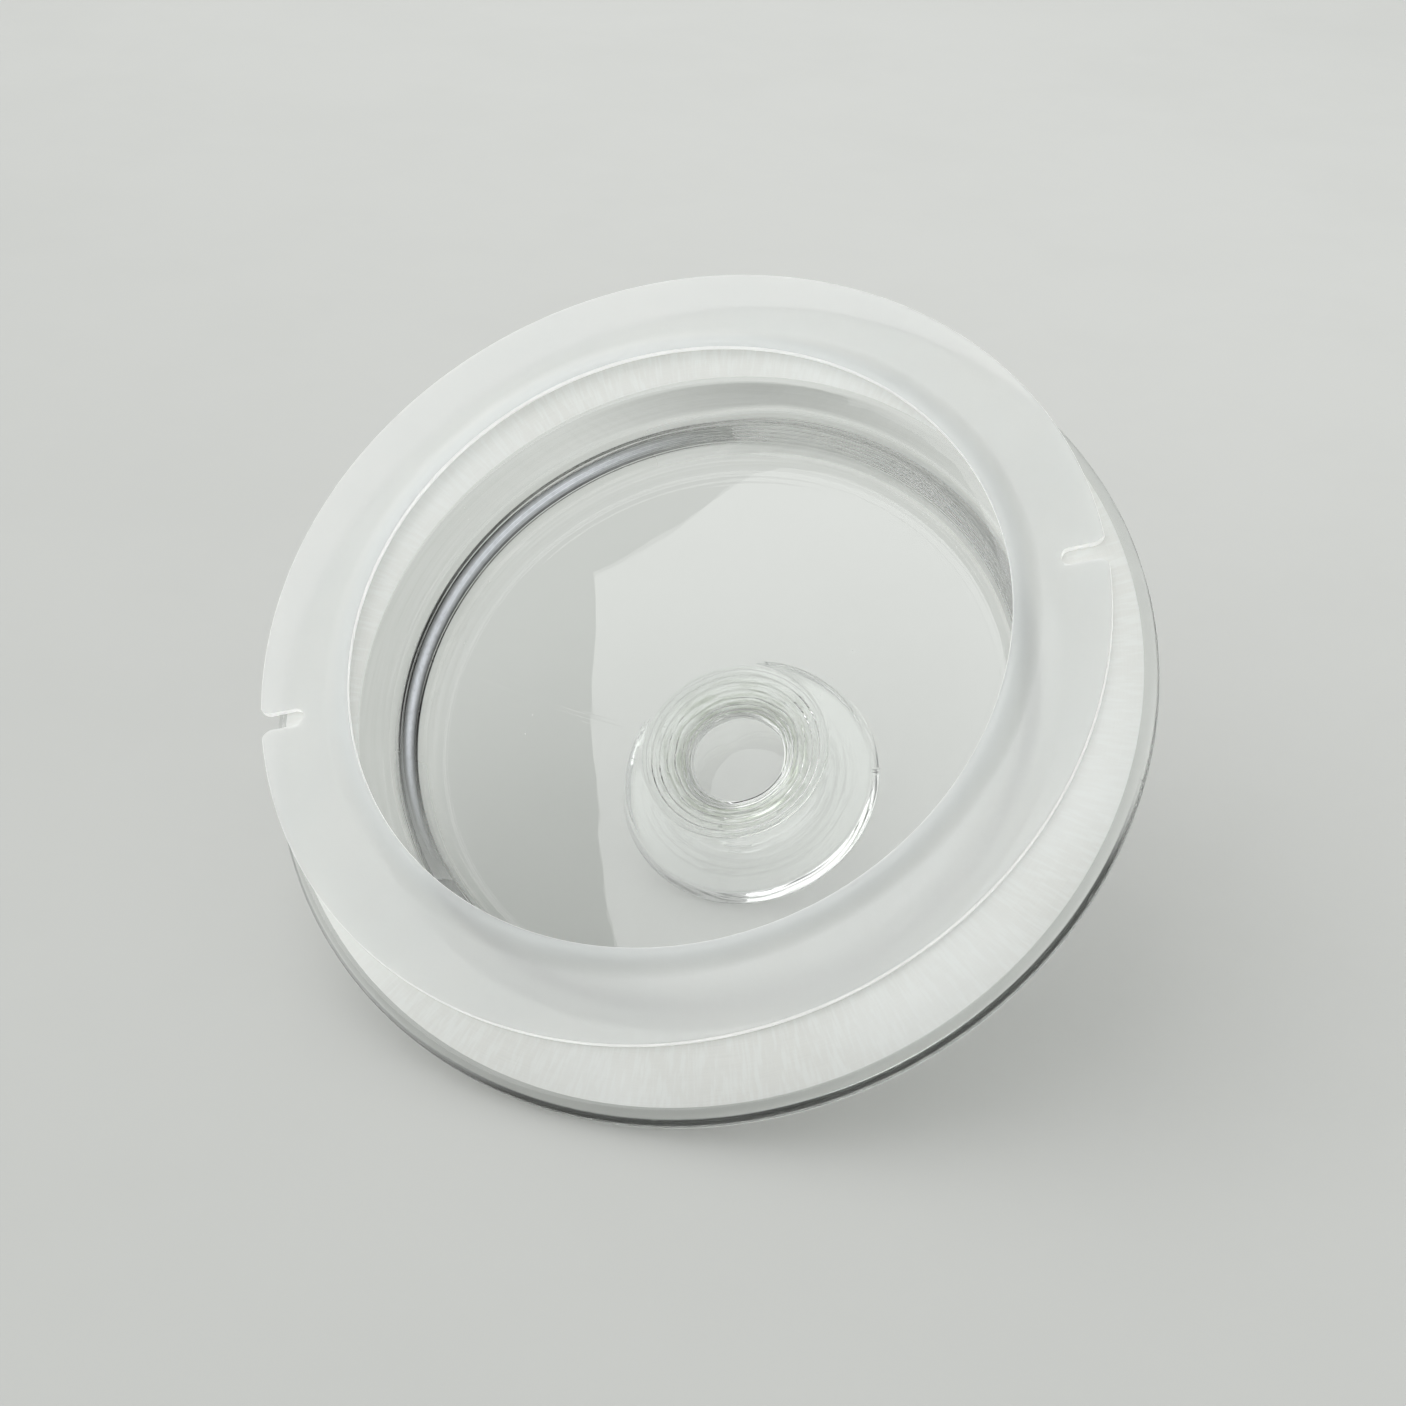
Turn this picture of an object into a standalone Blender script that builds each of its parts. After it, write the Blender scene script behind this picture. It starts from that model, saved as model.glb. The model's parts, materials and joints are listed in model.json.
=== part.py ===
"""Glass desiccator lid with its loose flange gasket.

The lid is stored opening-up on a bench, where it leans on two rims: the edge of its flange and the
edge of its knob. The gasket lies on the ground face of the flange, pushed off centre.

Run it with blender --background --python part.py, or from the text editor. Metres, +Z up, with the
bench at z = 0. Each turned piece is drawn in the lid's own axes, where the ground face is z = 0 and
faces +z, the knob hangs below it at -z, and x runs left to right along the bench.
"""

import math

import bmesh
import bpy
from mathutils import Matrix, Vector

# ------------------------------------------------------------------ driving dimensions (metres)
FLANGE_RADIUS = 0.1180
FLANGE_THICKNESS = 0.0096
FLANGE_EDGE_RADIUS = 0.0049  # rounding of the flange's rim, cut off by the ground face
GROUND_INNER_RADIUS = 0.0980
MOUTH_RADIUS = 0.0934  # where the rounded inner edge of the ground face ends
MOUTH_DROP = 0.0010
SHOULDER_RADIUS = 0.0843  # ridge between the mouth and the steep wall of the bell
SHOULDER_DEPTH = 0.0085
BELL_RADIUS = 0.0780  # foot of the steep wall, where the dome starts
BELL_DEPTH = 0.0185
APEX_DEPTH = 0.0400  # depth of the bell inside, on its axis
WALL = 0.0050  # glass thickness of the dome
BELL_FOOT_RADIUS = 0.0775  # foot of the steep wall on the outside
HAUNCH_RADIUS = 0.0888  # where the outside of the bell meets the back of the flange
HAUNCH_FOOT_RADIUS = 0.0855  # foot of the nearly upright stretch below the flange
HAUNCH_FOOT_DEPTH = 0.0225

KNOB_RADIUS = 0.0375
KNOB_FACE_DEPTH = 0.0690  # ground face to the flat face of the knob
KNOB_WIDEST_DEPTH = 0.0652
KNOB_LOW_RADIUS = 0.0364  # rounding below the widest place, and where it ends on the flat face
KNOB_LOW_DEPTH = 0.0676
KNOB_FLAT_RADIUS = 0.0344
KNOB_TOP_RADIUS = 0.0354  # upper edge of the disc's side
KNOB_TOP_DEPTH = 0.0597
KNOB_TOP_ROUNDING = 0.0008
NECK_DISC_DEPTH = 0.0602  # of the disc's upper face, beside the neck
NECK_RADIUS = 0.0125
NECK_FLARE_RADIUS = 0.0250  # where the neck meets the dome
NECK_ROOT_RADIUS = 0.0150  # one third of the way down to the waist
NECK_FOOT_RADIUS = 0.0165  # two thirds of the way from the waist to the disc
NECK_FOOT_FLARE = 0.0260  # where the neck runs out into the disc's upper face
JOIN_GAP = 0.0003  # stands in for the fused joint between dome and neck

GASKET_RADIUS = 0.1152
GASKET_BORE_RADIUS = 0.0896
GASKET_WEB_RADIUS = 0.0975  # inner end of the flat web, where the lip starts
GASKET_THICKNESS = 0.0016
GASKET_LIP_RISE = 0.0025  # how far the lip stands above the web
GASKET_LIP_BEND = 0.7  # share of the rise that the first half of the lip makes
GASKET_BEND_SHIFT = 0.0008  # of the underside's bends, so that the lip keeps its thickness
GASKET_GAP = 0.0003  # between the gasket and the ground face
GASKET_OVAL = 0.970  # the soft ring has relaxed out of round: short over long diameter
GASKET_OVAL_TURN = math.radians(41.0)  # of the long diameter, from the lid's x
GASKET_SHIFT = (-0.0108, 0.0115)  # of its centre, along the lid's x and up the slope

NOTCH_WIDTH = 0.0050
NOTCH_TIP_RADIUS = 0.1029  # how near the centre a notch reaches
NOTCH_MOUTH_ROUNDING = 0.0030
NOTCH_ANGLE = math.radians(23.4)  # of the first notch from the lid's x; the other is opposite
CUTTER_OVERRUN = 0.006  # how far the notch cutter reaches past the gasket's edge
CUTTER_HALF_HEIGHT = 0.010

BELL_SEGMENTS = 58  # 4n + 2 turns a flat of each faceted rim towards the bench
KNOB_SEGMENTS = 34
DOME_STEPS = 7  # straight lengths in the dome's half section
FUSED_TOP_STEPS = 3
MERGE = 0.00001

COLLECTION_NAME = "glass_desiccator_lid"


# ------------------------------------------------------------------ profiles
def arc(centre, radius, start, end, steps):
    """Points of a circular arc in the x-z half plane, from one angle in degrees to another."""
    points = []
    for i in range(steps + 1):
        angle = math.radians(start + (end - start) * i / steps)
        points.append((centre[0] + radius * math.cos(angle), centre[1] + radius * math.sin(angle)))
    return points


def dome_inside(radius):
    """Height of the inside of the dome, a spherical cap from its apex to the foot of the wall."""
    rise = APEX_DEPTH - BELL_DEPTH
    sphere = (BELL_RADIUS**2 + rise**2) / (2 * rise)
    return -APEX_DEPTH + sphere - math.sqrt(sphere**2 - radius**2)


def dome_outside(radius):
    """Height of the outside of the dome, one wall thickness further out on the same centre."""
    rise = APEX_DEPTH - BELL_DEPTH
    sphere = (BELL_RADIUS**2 + rise**2) / (2 * rise)
    return -APEX_DEPTH + sphere - math.sqrt((sphere + WALL) ** 2 - radius**2)


def flange_rim():
    """The rounded rim of the flange, from the ground face round to the flange's back."""
    centre = (FLANGE_RADIUS - FLANGE_EDGE_RADIUS, FLANGE_EDGE_RADIUS - FLANGE_THICKNESS)
    start = math.degrees(math.asin(-centre[1] / FLANGE_EDGE_RADIUS))
    return arc(centre, FLANGE_EDGE_RADIUS, start, -90, 8)


def bell_profile():
    """Half section of the lid without its knob: up the inside, over the flange, down the outside."""
    radii = [BELL_RADIUS * i / DOME_STEPS for i in range(DOME_STEPS + 1)]
    inside = [(radius, dome_inside(radius)) for radius in radii]
    mouth = [
        (SHOULDER_RADIUS, -SHOULDER_DEPTH),
        (MOUTH_RADIUS, -MOUTH_DROP),
        (GROUND_INNER_RADIUS, 0.0),
    ]
    haunch = [(HAUNCH_RADIUS, -FLANGE_THICKNESS), (HAUNCH_FOOT_RADIUS, -HAUNCH_FOOT_DEPTH)]
    stretch = BELL_FOOT_RADIUS / BELL_RADIUS
    outside = [(radius * stretch, dome_outside(radius * stretch)) for radius in reversed(radii)]
    return inside + mouth + flange_rim() + haunch + outside


def knob_rim():
    """The rim of the knob's disc, from its upper face down its flared side to its flat face."""
    return [
        (KNOB_TOP_RADIUS - KNOB_TOP_ROUNDING, -KNOB_TOP_DEPTH),
        (KNOB_TOP_RADIUS, -KNOB_TOP_DEPTH - KNOB_TOP_ROUNDING),
        (KNOB_RADIUS, -KNOB_WIDEST_DEPTH),
        (KNOB_LOW_RADIUS, -KNOB_LOW_DEPTH),
        (KNOB_FLAT_RADIUS, -KNOB_FACE_DEPTH),
    ]


def knob_profile():
    """Half section of the knob: along its fused top, down the waisted neck, round the disc."""
    radii = [NECK_FLARE_RADIUS * i / FUSED_TOP_STEPS for i in range(FUSED_TOP_STEPS + 1)]
    top = [(radius, dome_outside(radius) - JOIN_GAP) for radius in radii]
    root = top[-1][1]
    waist = (root - NECK_DISC_DEPTH) / 2
    neck = [
        (NECK_ROOT_RADIUS, (2 * root + waist) / 3),
        (NECK_RADIUS, waist),
        (NECK_FOOT_RADIUS, (waist - 2 * NECK_DISC_DEPTH) / 3),
        (NECK_FOOT_FLARE, -NECK_DISC_DEPTH),
    ]
    return top + neck + knob_rim() + [(0.0, -KNOB_FACE_DEPTH)]


def gasket_profile():
    """Closed section of the gasket: a flat web with a thin lip that rises towards the bore."""
    low = GASKET_GAP
    high = GASKET_GAP + GASKET_THICKNESS
    lip_top = high + GASKET_LIP_RISE
    bend = (GASKET_WEB_RADIUS + GASKET_BORE_RADIUS) / 2
    return [
        (GASKET_WEB_RADIUS, high),
        (GASKET_RADIUS, high),
        (GASKET_RADIUS, low),
        (GASKET_WEB_RADIUS - GASKET_BEND_SHIFT, low),
        (bend - GASKET_BEND_SHIFT, low + GASKET_LIP_BEND * GASKET_LIP_RISE),
        (GASKET_BORE_RADIUS, lip_top - GASKET_THICKNESS),
        (GASKET_BORE_RADIUS, lip_top),
        (bend, high + GASKET_LIP_BEND * GASKET_LIP_RISE),
    ]


# ------------------------------------------------------------------ resting place
def lowest(points, lean, segments):
    """Lowest height of a turned piece's flat side when its axis leans back by an angle."""
    across = math.cos(math.pi / segments)
    return min(z * math.cos(lean) - x * across * math.sin(lean) for x, z in points)


def resting_lean():
    """The lean at which the flange's rim and the knob's rim touch the bench together."""
    low, high = 0.0, math.radians(80)
    for _ in range(60):
        lean = (low + high) / 2
        if lowest(flange_rim(), lean, BELL_SEGMENTS) > lowest(knob_rim(), lean, KNOB_SEGMENTS):
            low = lean
        else:
            high = lean
    return lean


# ------------------------------------------------------------------ pieces
def material(name, colour, roughness, transmission, ior):
    """A Principled material for one piece."""
    result = bpy.data.materials.new(name)
    result.use_nodes = True
    shader = result.node_tree.nodes["Principled BSDF"]
    shader.inputs["Base Color"].default_value = (*colour, 1.0)
    shader.inputs["Roughness"].default_value = roughness
    shader.inputs["Metallic"].default_value = 0.0
    shader.inputs["Transmission Weight"].default_value = transmission
    shader.inputs["IOR"].default_value = ior
    result.diffuse_color = (*colour, 1.0)
    return result


def turned(name, profile, segments, collection, finish, closed=False):
    """A profile turned about the piece's z by a Screw modifier."""
    mesh = bpy.data.meshes.new(name)
    count = len(profile)
    edges = [(i, i + 1) for i in range(count - 1)]
    if closed:
        edges.append((count - 1, 0))
    mesh.from_pydata([(x, 0.0, z) for x, z in profile], edges, [])
    piece = bpy.data.objects.new(name, mesh)
    collection.objects.link(piece)
    screw = piece.modifiers.new("turn", "SCREW")
    screw.steps = segments
    screw.render_steps = segments
    screw.use_merge_vertices = True
    screw.merge_threshold = MERGE
    screw.use_smooth_shade = True
    mesh.materials.append(finish)
    return piece


def notch_cutter(index, angle, collection):
    """A round-ended slot with a rounded mouth, as a flat outline that is extruded and made a mesh."""
    half = NOTCH_WIDTH / 2
    mouth = GASKET_RADIUS - NOTCH_MOUTH_ROUNDING
    beyond = GASKET_RADIUS + CUTTER_OVERRUN
    tip = arc((NOTCH_TIP_RADIUS + half, 0.0), half, 270, 90, 6)
    upper = arc((mouth, half + NOTCH_MOUTH_ROUNDING), NOTCH_MOUTH_ROUNDING, -90, 0, 4)
    end = [(beyond, half + NOTCH_MOUTH_ROUNDING), (beyond, -half - NOTCH_MOUTH_ROUNDING)]
    lower = [(x, -y) for x, y in reversed(upper)]
    outline = tip + upper + end + lower

    curve = bpy.data.curves.new("notch_outline", "CURVE")
    curve.dimensions = "2D"
    curve.fill_mode = "BOTH"
    curve.extrude = CUTTER_HALF_HEIGHT
    spline = curve.splines.new("POLY")
    spline.points.add(len(outline) - 1)
    for point, (x, y) in zip(spline.points, outline):
        point.co = (x, y, 0.0, 1.0)
    spline.use_cyclic_u = True
    flat = bpy.data.objects.new("notch_outline", curve)
    collection.objects.link(flat)
    bpy.context.view_layer.update()
    evaluated = flat.evaluated_get(bpy.context.evaluated_depsgraph_get())
    mesh = bpy.data.meshes.new_from_object(evaluated)
    bpy.data.objects.remove(flat)
    weld(mesh)
    mesh.transform(Matrix.Rotation(angle, 4, "Z"))

    cutter = bpy.data.objects.new(f"notch_cutter_{index}", mesh)
    collection.objects.link(cutter)
    cutter.hide_render = True
    cutter.display_type = "WIRE"
    return cutter


def weld(mesh):
    """Join a mesh's loose caps to its sides."""
    work = bmesh.new()
    work.from_mesh(mesh)
    bmesh.ops.remove_doubles(work, verts=work.verts, dist=MERGE)
    bmesh.ops.recalc_face_normals(work, faces=work.faces)
    work.to_mesh(mesh)
    work.free()


def gasket(collection, cutters, finish):
    """The soft ring: turned, notched on two opposite sides, and pressed slightly oval."""
    piece = turned("gasket", gasket_profile(), BELL_SEGMENTS, collection, finish, closed=True)
    first = NOTCH_ANGLE - GASKET_OVAL_TURN
    for index in range(2):
        cutter = notch_cutter(index, first + index * math.pi, cutters)
        cutter.parent = piece
        cut = piece.modifiers.new(f"notch_{index}", "BOOLEAN")
        cut.operation = "DIFFERENCE"
        cut.solver = "EXACT"
        cut.object = cutter
    piece.scale = (1.0, GASKET_OVAL, 1.0)
    piece.rotation_euler = (0.0, 0.0, GASKET_OVAL_TURN)
    piece.location = (GASKET_SHIFT[0], GASKET_SHIFT[1], 0.0)
    return piece


def stand_on_bench(axes, pieces):
    """Move the lid's axes so that the pieces' box stands on the bench, centred on the origin."""
    bpy.context.view_layer.update()
    depsgraph = bpy.context.evaluated_depsgraph_get()
    corners = []
    for piece in pieces:
        evaluated = piece.evaluated_get(depsgraph)
        corners += [evaluated.matrix_world @ vertex.co for vertex in evaluated.data.vertices]
    low = Vector([min(point[i] for point in corners) for i in range(3)])
    high = Vector([max(point[i] for point in corners) for i in range(3)])
    axes.location -= Vector(((low.x + high.x) / 2, (low.y + high.y) / 2, low.z))


def main():
    for item in list(bpy.data.objects):
        bpy.data.objects.remove(item, do_unlink=True)

    model = bpy.data.collections.new(COLLECTION_NAME)
    cutters = bpy.data.collections.new("cutters")
    for collection in (model, cutters):
        bpy.context.scene.collection.children.link(collection)

    clear_glass = material("clear_glass", (0.86, 0.90, 0.87), 0.05, 0.95, 1.50)
    knob_glass = material("knob_glass", (0.82, 0.87, 0.83), 0.05, 0.95, 1.50)
    milky_rubber = material("milky_rubber", (0.86, 0.88, 0.87), 0.45, 0.30, 1.42)

    lid_bell = turned("lid_bell", bell_profile(), BELL_SEGMENTS, model, clear_glass)
    knob = turned("knob", knob_profile(), KNOB_SEGMENTS, model, knob_glass)
    ring = gasket(model, cutters, milky_rubber)

    lid_axes = bpy.data.objects.new("lid_axes", None)
    model.objects.link(lid_axes)
    lid_axes.rotation_euler = (resting_lean(), 0.0, 0.0)
    pieces = [lid_bell, knob, ring]
    for piece in pieces:
        piece.parent = lid_axes
    stand_on_bench(lid_axes, pieces)


main()
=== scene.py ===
"""Looks of the glass desiccator lid and its gasket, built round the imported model.

Metres, +Z up, bench at z = 0. The lid's own axes are worked out from the record: z points out of the
mouth, with the ground face at z = 0, and x is level. Turned pieces are drawn in those axes.
"""

import json
import math

import bmesh
import bpy
from mathutils import Matrix, Vector, noise


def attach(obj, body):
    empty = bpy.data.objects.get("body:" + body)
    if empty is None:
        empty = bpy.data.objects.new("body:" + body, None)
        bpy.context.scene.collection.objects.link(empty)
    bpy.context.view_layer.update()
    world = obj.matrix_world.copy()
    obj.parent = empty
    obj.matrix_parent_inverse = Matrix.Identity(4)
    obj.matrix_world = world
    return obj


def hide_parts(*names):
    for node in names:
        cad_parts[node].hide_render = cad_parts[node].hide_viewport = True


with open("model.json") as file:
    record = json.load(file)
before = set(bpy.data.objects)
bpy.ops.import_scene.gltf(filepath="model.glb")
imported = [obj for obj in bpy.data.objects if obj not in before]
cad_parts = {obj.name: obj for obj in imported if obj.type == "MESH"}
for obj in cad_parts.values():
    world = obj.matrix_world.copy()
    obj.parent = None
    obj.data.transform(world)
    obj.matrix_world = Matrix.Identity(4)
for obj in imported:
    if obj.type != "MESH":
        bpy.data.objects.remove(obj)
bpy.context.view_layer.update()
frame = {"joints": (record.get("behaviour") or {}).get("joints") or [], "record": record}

# ------------------------------------------------------------------ sizes of the glass (metres)
FLANGE_RADIUS = 0.1178
FLANGE_THICKNESS = 0.0096
FLANGE_EDGE_RADIUS = 0.0049
GROUND_INNER_RADIUS = 0.0980
GROUND_EDGE_WIDTH = 0.0027
GROUND_EDGE_DEPTH = 0.0006
MOUTH_RADIUS = 0.0934
MOUTH_DROP = 0.0010
SHOULDER_RADIUS = 0.0843
SHOULDER_DEPTH = 0.0085
BELL_RADIUS = 0.0780
BELL_DEPTH = 0.0185
APEX_DEPTH = 0.0400
WALL = 0.0050
BELL_FOOT_RADIUS = 0.0775
HAUNCH_RADIUS = 0.0888
HAUNCH_FOOT_RADIUS = 0.0850
HAUNCH_FOOT_DEPTH = 0.0225
KNOB_RADIUS = 0.0373
KNOB_FACE_DEPTH = 0.0690
KNOB_FACE_RADIUS = 0.0344
KNOB_WIDEST_DEPTH = 0.0652
KNOB_TOP_RADIUS = 0.0354
KNOB_TOP_DEPTH = 0.0597
KNOB_TOP_WIDTH = 0.0040
NECK_DISC_DEPTH = 0.0602
DIMPLE_RADIUS = 0.0030
DIMPLE_DEPTH = 0.0005
NECK_RADIUS = 0.0125
NECK_FLARE_RADIUS = 0.0250
NECK_ROOT_RADIUS = 0.0150
NECK_FOOT_RADIUS = 0.0165
NECK_FOOT_FLARE = 0.0260

# ------------------------------------------------------------------ sizes of the gasket
GASKET_RADIUS = 0.1150
GASKET_BORE_RADIUS = 0.0896
GASKET_WEB_RADIUS = 0.0975
GASKET_THICKNESS = 0.0016
GASKET_LIP_RISE = 0.0025
GASKET_GAP = 0.0003
GASKET_SIT = 0.0002
GASKET_EDGE_RADIUS = 0.00045
GASKET_OVAL = 0.970
GASKET_OVAL_TURN = math.radians(41.0)
GASKET_SHIFT = (-0.0108, 0.0115)
NOTCH_WIDTH = 0.0050
NOTCH_TIP_RADIUS = 0.1029
NOTCH_MOUTH_ROUNDING = 0.0030
NOTCH_ANGLE = math.radians(23.4)
CUTTER_OVERRUN = 0.006
CUTTER_HALF_HEIGHT = 0.010

# ------------------------------------------------------------------ how finely shapes are drawn
TURN_STEPS = 320
MERGE = 0.000002
SHARP_DEGREES = 32
DOME_STEPS = 30
DOME_SPACING = 1.2
OUTER_STEPS = 18
RIM_STEPS = 20
EDGE_STEPS = 4
CREST_STEPS = 10
NOTCH_TIP_STEPS = 16
NOTCH_MOUTH_STEPS = 10
STRAIGHT_DEGREES = 89.5
CORNER_SHARE = 0.48

# ------------------------------------------------------------------ unevenness of the blown glass
# Where the painted highlight band lies on the steep wall.
BELT_HIGH = 0.0130
BELT_MIDDLE = 0.0160
BELT_LOW = 0.0195
BELT_INNER_RADIUS = 0.0842
BELT_DEGREES = (103, 227)
DOME_WAVE = 0.00034
DOME_WAVE_LENGTH = 0.042
DOME_WAVE_EDGE = 0.012
DOME_WAVE_FADE = 0.020
DOME_WAVE_PLACE = Vector((3.1, 0.4, 7.7))
DOME_WAVE_DEPTH = APEX_DEPTH + WALL * 1.6
STEEP_WALL_START = 92.0
STEEP_WALL_END = 232.0
STEEP_WALL_BLEND = 16.0
STEEP_WALL_IN = -0.0016
STEEP_WALL_OUT = 0.0016
STEEP_WALL_RADII = (0.0790, 0.094)
STEEP_WALL_DEPTHS = (FLANGE_THICKNESS - 0.0001, HAUNCH_FOOT_DEPTH + 0.004)
STEEP_WALL_FOOT = HAUNCH_FOOT_DEPTH + 0.003
STEEP_WALL_FOOT_BLEND = 0.005
NECK_RIPPLE = 0.00013
NECK_RIPPLE_LENGTH = 0.0021
NECK_DENT = 0.0007
NECK_DENT_SIZE = 0.009
NECK_DENT_PLACE = Vector((5.0, 0.0, 0.0))
NECK_DENT_DEPTH = APEX_DEPTH + WALL * 0.9
HAUNCH_RIPPLE = 0.00004
HAUNCH_RIPPLE_LENGTH = 0.0015
SECOND_RIPPLE = 1.95
RIPPLE_SUM = 1.4

# ------------------------------------------------------------------ where finishes start and are full
# Heights and radii are in the lid's axes, in metres, and turns are in degrees.
# Where the painted rim shade lies: a near black band painted inside the flange's edge.
RIM_SHADE_FOOT = (-0.0041, -0.0037)
RIM_SHADE_TOP = (-0.0014, -0.0019)
RIM_SHADE_EDGE = (0.1140, 0.1146)
RIM_SHADE_START = (-130.0, -95.0)
RIM_SHADE_END = (4.0, -14.0)
THICK_INSIDE = (0.0780, 0.0800)
THICK_OUTSIDE = (0.0995, 0.0975)
NECK_TINT_FOOT = (-0.0590, -0.0565)
NECK_TINT_ROOT = (-0.0425, -0.0450)
NECK_TINT_EDGE = (0.0255, 0.0225)
SATIN_FOOT = (-0.0255, -0.0235)
SATIN_TOP = (-0.0097, -0.0105)
SATIN_INSIDE = (0.0838, 0.0846)
SATIN_OUTSIDE = (0.0925, 0.0900)
SATIN_MIDDLE = 160.0
SATIN_TURN = (28.0, 62.0)
SATIN_ROUGHNESS = (0.12, 0.60)
SEAM_HALF_WIDTH = (0.00045, 0.0001)
SEAM_INSIDE = (0.030, 0.036)
# Turns where the painted highlight band fades in and out.
HIGHLIGHT_START = (104.0, 140.0)
HIGHLIGHT_END = (226.0, 190.0)
DULL_START = (-162.0, -150.0)
DULL_END = (-119.5, -121.0)
DULL_INSIDE = (0.1062, 0.1070)


# ------------------------------------------------------------------ the lid's axes, from the record
def record_mount(name):
    return next(m for m in frame["record"]["mounts"] if m["name"] == name)


def lid_axes():
    """Matrix from the lid's own axes to the frame."""
    lift = next(joint for joint in frame["joints"] if joint["name"] == "gasket_lift")
    out = Vector(lift["axis"]).normalized()
    across = Vector((1, 0, 0))
    origin = Vector(record_mount("knob_face")["pos_m"]) + KNOB_FACE_DEPTH * out
    turn = Matrix((across, out.cross(across), out)).transposed().to_4x4()
    return Matrix.Translation(origin) @ turn


LID = lid_axes()


# ------------------------------------------------------------------ outlines
def smooth_step(value):
    value = min(1.0, max(0.0, value))
    return value * value * (3 - 2 * value)


def arc(centre, radius, start, end, steps):
    """Points of an arc from one angle in degrees to another."""
    angles = [math.radians(start + (end - start) * i / steps) for i in range(steps + 1)]
    return [(centre[0] + radius * math.cos(a), centre[1] + radius * math.sin(a)) for a in angles]


def dome(radius, offset):
    """Height of the dome's sphere, or of one that lies an offset outside it."""
    rise = APEX_DEPTH - BELL_DEPTH
    sphere = (BELL_RADIUS**2 + rise**2) / (2 * rise)
    return -APEX_DEPTH + sphere - math.sqrt((sphere + offset) ** 2 - radius**2)


def rounded(points, radii, steps=6):
    """An open outline with each inner corner rounded off, wider for a larger radius."""
    result = [points[0]]
    for i in range(1, len(points) - 1):
        before, corner, after = (Vector(points[j]) for j in (i - 1, i, i + 1))
        back, ahead = (before - corner), (after - corner)
        half = back.angle(ahead) / 2
        reach = min(radii[i] / math.tan(half), CORNER_SHARE * back.length, CORNER_SHARE * ahead.length)
        if radii[i] == 0 or half > math.radians(STRAIGHT_DEGREES):
            result.append(tuple(corner))
            continue
        start, end = corner + back.normalized() * reach, corner + ahead.normalized() * reach
        for k in range(steps + 1):
            t = k / steps
            result.append(tuple((1 - t) ** 2 * start + 2 * t * (1 - t) * corner + t * t * end))
    return result + [points[-1]]


def rippled(points, height, length):
    """An outline section drawn finer, with small even ripples across it that die out at both ends."""
    result = []
    spans = [(Vector(p), Vector(q)) for p, q in zip(points, points[1:])]
    whole = sum((q - p).length for p, q in spans)
    run = 0.0
    for p, q in spans:
        steps = max(1, round((q - p).length / (length / 5)))
        across = (q - p).orthogonal().normalized()
        for k in range(steps):
            along = run + (q - p).length * k / steps
            fade = min(1.0, along / length, (whole - along) / length)
            turn = 2 * math.pi * along / length
            wave = height * fade * (math.sin(turn) + math.sin(SECOND_RIPPLE * turn)) / RIPPLE_SUM
            result.append(tuple(p.lerp(q, k / steps) + across * wave))
        run += (q - p).length
    return result + [points[-1]]


def rounded_corners(corners, steps=6):
    """A rounded outline from pairs of a corner and its radius."""
    points, radii = zip(*corners)
    return rounded(points, radii, steps)


def dome_inside():
    """Inside of the dome from its middle, where there is a small dimple, out to the foot of the wall."""
    points = []
    for i in range(DOME_STEPS + 1):
        radius = BELL_RADIUS * (i / DOME_STEPS) ** DOME_SPACING
        dimple = DIMPLE_DEPTH * math.exp(-((radius / DIMPLE_RADIUS) ** 2))
        points.append((radius, dome(radius, 0) - dimple))
    return points


def lid_outline():
    """Half section of the whole lid: up the inside, round the flange, down the outside, over the knob."""
    inside = dome_inside()
    wall = rounded_corners([
        (inside[-2], 0),
        (inside[-1], 0.006),
        ((SHOULDER_RADIUS, -SHOULDER_DEPTH), 0.0005),
        ((MOUTH_RADIUS, -MOUTH_DROP), 0.004),
        ((GROUND_INNER_RADIUS, 0.0), 0),
    ])
    rim_centre = (FLANGE_RADIUS - FLANGE_EDGE_RADIUS, FLANGE_EDGE_RADIUS - FLANGE_THICKNESS)
    rim_start = math.degrees(math.asin(-rim_centre[1] / FLANGE_EDGE_RADIUS))
    rim = arc(rim_centre, FLANGE_EDGE_RADIUS, rim_start, -90, RIM_STEPS)

    dome_width = BELL_FOOT_RADIUS - NECK_FLARE_RADIUS
    outer = [NECK_FLARE_RADIUS + dome_width * i / OUTER_STEPS for i in range(OUTER_STEPS + 1)]
    outer = [(r, dome(r, WALL)) for r in reversed(outer)]
    haunch = rounded_corners([
        (rim[-1], 0),
        ((HAUNCH_RADIUS, -FLANGE_THICKNESS), 0.004),
        ((HAUNCH_FOOT_RADIUS, -HAUNCH_FOOT_DEPTH), 0.006),
        (outer[0], 0.004),
        (outer[1], 0),
    ])
    haunch = haunch[:1] + rippled(haunch[1:], HAUNCH_RIPPLE, HAUNCH_RIPPLE_LENGTH)

    root = outer[-1][1]
    waist = (root - NECK_DISC_DEPTH) / 2
    neck_corners = [
        (outer[-2], 0),
        (outer[-1], 0.005),
        ((NECK_ROOT_RADIUS, (2 * root + waist) / 3), 0.006),
        ((NECK_RADIUS, waist), 0.010),
        ((NECK_FOOT_RADIUS, (waist - 2 * NECK_DISC_DEPTH) / 3), 0.008),
        ((NECK_FOOT_FLARE, -NECK_DISC_DEPTH), 0.004),
        ((KNOB_TOP_RADIUS - KNOB_TOP_WIDTH, -KNOB_TOP_DEPTH), 0),
    ]
    neck = rippled(rounded_corners(neck_corners, 4), NECK_RIPPLE, NECK_RIPPLE_LENGTH)
    knob = rounded_corners([
        (neck[-1], 0),
        ((KNOB_TOP_RADIUS, -KNOB_TOP_DEPTH), 0.0012),
        ((KNOB_RADIUS, -KNOB_WIDEST_DEPTH), 0.003),
        ((KNOB_FACE_RADIUS, -KNOB_FACE_DEPTH), 0.002),
        ((0.0, -KNOB_FACE_DEPTH), 0),
    ])
    return inside[:-2] + wall + rim + haunch[1:] + outer[2:-2] + neck + knob[1:]


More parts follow.
